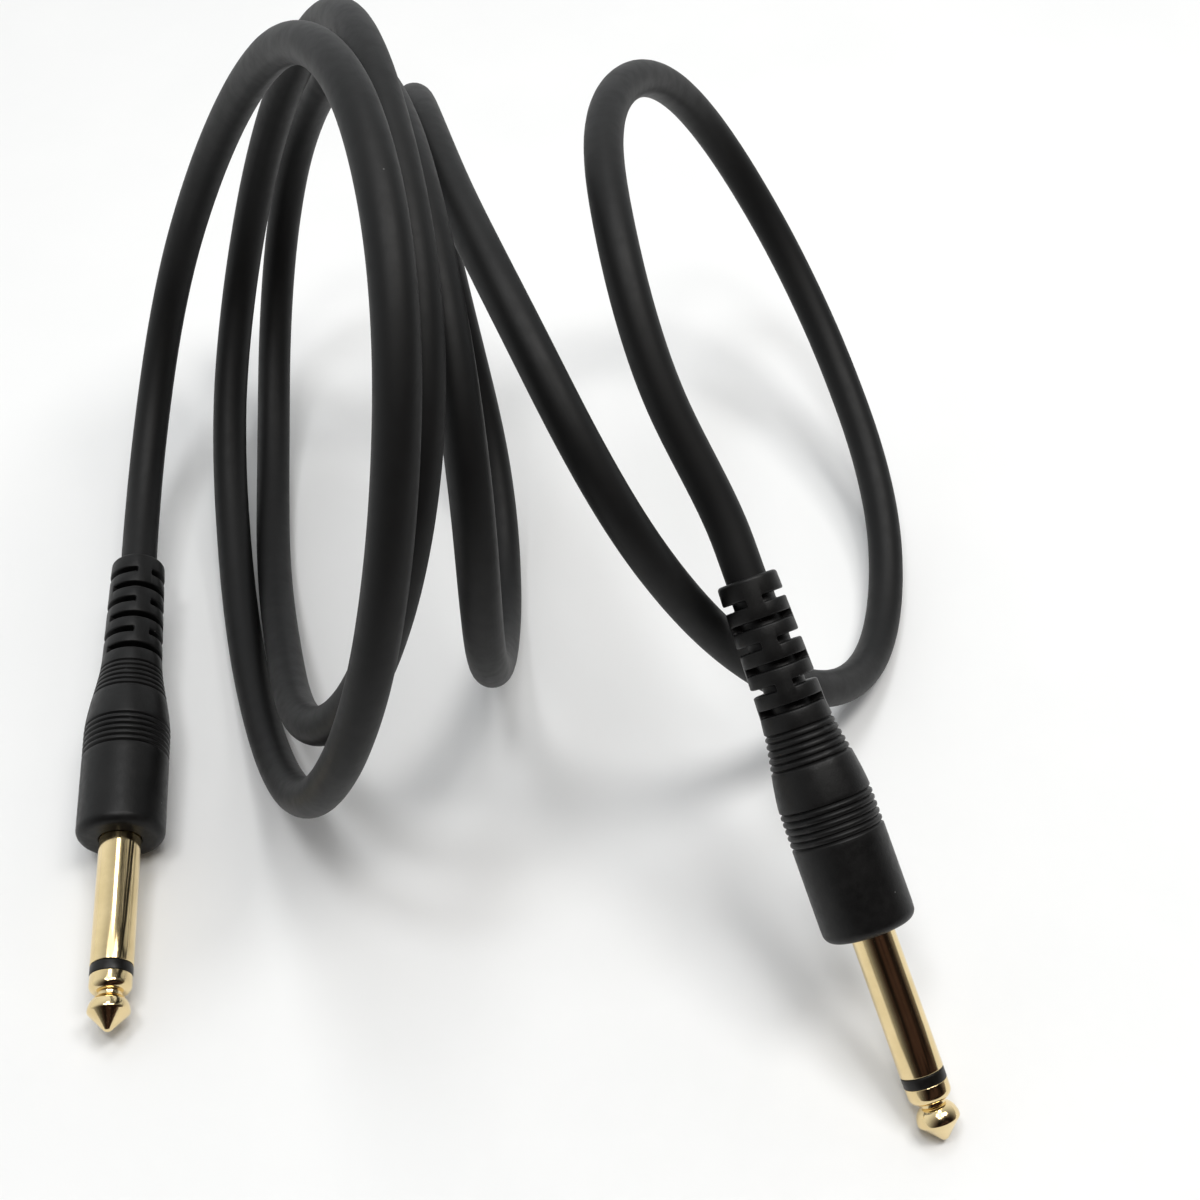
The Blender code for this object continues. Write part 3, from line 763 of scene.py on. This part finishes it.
def make_plugs(places, looks):
    """Both plugs' detailed pieces, each in its place with its look."""
    shown = {
        "handle": ("handle", "plug_moulding"),
        "sleeve_contact": ("gold", "gold_plating"),
        "insulator_ring": ("insulator", "insulator"),
        "tip_contact": ("gold", "gold_plating"),
    }
    for plug, place in places.items():
        for piece, mesh in plug_shapes(plug, place).items():
            look, slot = shown[piece]
            placed = put_in_place(mesh, place)
            show(f"{plug}_{piece}_detail", placed, looks[look], f"{plug}_{piece}")


def dress_hidden_nodes(looks):
    """Materials for the CAD nodes inside the handles."""
    finishes = {
        "inner_mould": "inner_mould",
        "insulator_tube": "dark_plastic",
        "rear_washer": "dark_plastic",
        "jacket_end": "jacket",
        "tip_lug": "brass",
        "ground_lug": "brass",
        "core_insulation": "core",
        "centre_conductor": "copper",
        "screen_wire": "copper",
        "tip_solder": "solder",
        "ground_solder": "solder",
    }
    for plug in PLUGS:
        for piece, look in finishes.items():
            mesh = frame["nodes"][f"{plug}_{piece}"].data
            mesh.materials.clear()
            mesh.materials.append(looks[look])


def make_looks():
    return {
        "jacket": jacket_look(),
        "handle": handle_look(),
        "gold": gold_look(),
        "insulator": insulator_look(),
        "inner_mould": hidden_look("inner_plastic", grey(0.74, 0.02), grey(0.62, 0.05), 0.4, 0.0, 300.0),
        "dark_plastic": hidden_look("dark_plastic", grey(0.05), grey(0.03), 0.4, 0.0, 500.0),
        "brass": hidden_look("lug_brass", *LUG_BRASS, 0.3, 1.0, 500.0),
        "copper": hidden_look("copper", *COPPER_WIRE, 0.32, 1.0, 900.0),
        "solder": hidden_look("solder", grey(0.7), grey(0.5), 0.35, 1.0, 800.0),
        "core": hidden_look("core_plastic", grey(0.86, 0.01), grey(0.76, 0.03), 0.45, 0.0, 600.0),
    }


def make_table():
    """A round table top that fades out into the backdrop before its edge, so no hard horizon shows."""
    mesh = turned_mesh("table", np.array(TABLE_OUTLINE) / MM, False)
    mesh.materials.append(table_look())
    table = bpy.data.objects.new("table", mesh)
    bpy.context.scene.collection.objects.link(table)


def from_angles(azimuth, elevation):
    """A direction from two angles in degrees: azimuth 0 is the front and 90 the right."""
    turn, rise = radians(azimuth), radians(elevation)
    return Vector((sin(turn) * cos(rise), -cos(turn) * cos(rise), sin(rise)))


def make_lamp(name, azimuth, elevation, size, power, colour):
    """A round soft lamp, a metre from the object and facing it."""
    light = bpy.data.lights.new(name, "AREA")
    light.shape = "DISK"
    light.size = size
    light.energy = power
    light.color = colour
    lamp = bpy.data.objects.new(name, light)
    towards = from_angles(azimuth, elevation)
    lamp.location = LAMP_TARGET + LAMP_DISTANCE * towards
    lamp.rotation_euler = towards.to_track_quat("Z", "Y").to_euler()
    bpy.context.scene.collection.objects.link(lamp)


def make_world():
    """Surroundings: pale, but dim in patches towards the dark side, and plain where seen direct."""
    world = bpy.data.worlds.new("studio")
    world.use_nodes = True
    bpy.context.scene.world = world
    tree = world.node_tree
    background = tree.nodes["Background"]
    facing = tree.nodes.new("ShaderNodeVectorMath")
    facing.operation = "DOT_PRODUCT"
    facing.inputs[1].default_value = from_angles(*DARK_SIDE)
    direction = tree.nodes.new("ShaderNodeTexCoord").outputs["Generated"]
    tree.links.new(direction, facing.inputs[0])
    shade = tree.nodes.new("ShaderNodeMapRange")
    shade.interpolation_type = "SMOOTHSTEP"
    shade.inputs["From Min"].default_value = cos(radians(PALE_ANGLE))
    shade.inputs["From Max"].default_value = cos(radians(DARK_ANGLE))
    tree.links.new(facing.outputs["Value"], shade.inputs["Value"])
    patches = tree.nodes.new("ShaderNodeTexNoise")
    patches.inputs["Scale"].default_value = DARK_PATCHES
    tree.links.new(direction, patches.inputs["Vector"])
    patched = tree.nodes.new("ShaderNodeMapRange")
    patched.inputs["From Min"].default_value = PATCH_RANGE[0]
    patched.inputs["From Max"].default_value = PATCH_RANGE[1]
    tree.links.new(patches.outputs["Fac"], patched.inputs["Value"])
    dark = mixed_colour(tree, patched.outputs["Result"], *DARK_SURROUNDINGS)
    around = mixed_colour(tree, shade.outputs["Result"], PALE_SURROUNDINGS, dark)
    direct = tree.nodes.new("ShaderNodeLightPath").outputs["Is Camera Ray"]
    tree.links.new(mixed_colour(tree, direct, around, BACKDROP), background.inputs["Color"])


def mixed_colour(tree, share, first, second):
    """The output of a mix of two colours, each a colour or another node's output."""
    mix = tree.nodes.new("ShaderNodeMix")
    mix.data_type = "RGBA"
    tree.links.new(share, mix.inputs["Factor"])
    for index, value in ((MIX_FIRST, first), (MIX_SECOND, second)):
        if isinstance(value, tuple):
            mix.inputs[index].default_value = value
        else:
            tree.links.new(value, mix.inputs[index])
    return mix.outputs[MIX_RESULT]


def make_studio():
    make_table()
    make_world()
    for lamp in LAMPS:
        make_lamp(*lamp)
    bpy.context.scene.view_settings.view_transform = "Standard"


make_camera()
PLACES = {plug: plug_matrix(plug) for plug in PLUGS}
BARREL_RADIUS = node_span("plug_a", "handle", PLACES["plug_a"])[2]
SLEEVE_RADIUS = node_span("plug_a", "insulator_ring", PLACES["plug_a"])[2] + CAD_RING_INSET
LOOKS = make_looks()
make_cable(PLACES, LOOKS["jacket"])
make_plugs(PLACES, LOOKS)
dress_hidden_nodes(LOOKS)
make_studio()
